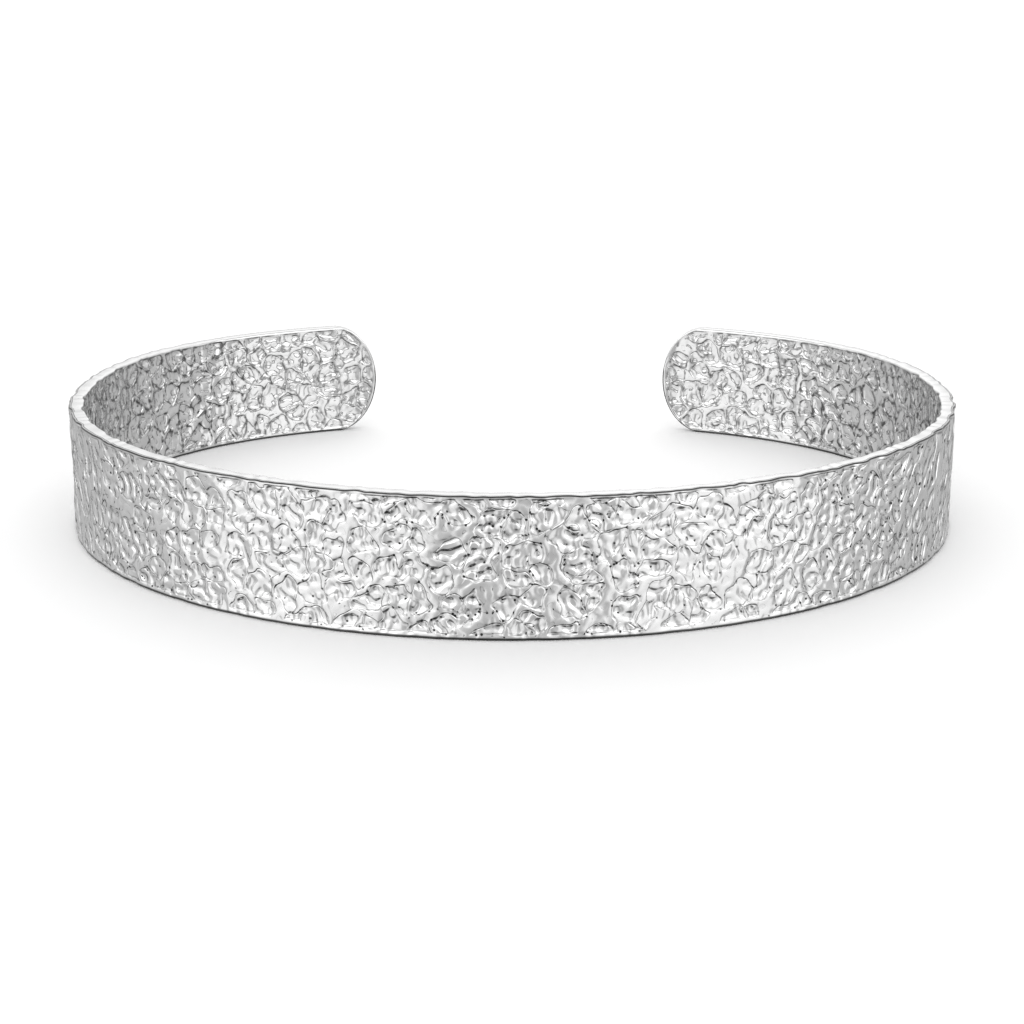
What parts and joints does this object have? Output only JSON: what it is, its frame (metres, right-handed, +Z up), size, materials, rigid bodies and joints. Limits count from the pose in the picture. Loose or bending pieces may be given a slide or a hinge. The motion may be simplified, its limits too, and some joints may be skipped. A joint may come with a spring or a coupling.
{
  "type": "cuff bangle",
  "caption": "Oval open cuff bangle: a flat band of polished silver with rounded ends and a relief of irregular hollows on both faces.",
  "frame": {"origin": "middle of the base of the bounding box, in the plane of the lower edge that the bangle lies on", "axes": "+X along the bangle's width, +Y from its closed front towards the opening at the back, +Z up, across the height of the band"},
  "size_m": [0.064, 0.0518, 0.0091],
  "materials": {
    "polished_silver": "bright polished silver, hammered relief"
  },
  "bodies": {
    "root": {"cuff_band": "polished_silver"}
  },
  "joints": []
}
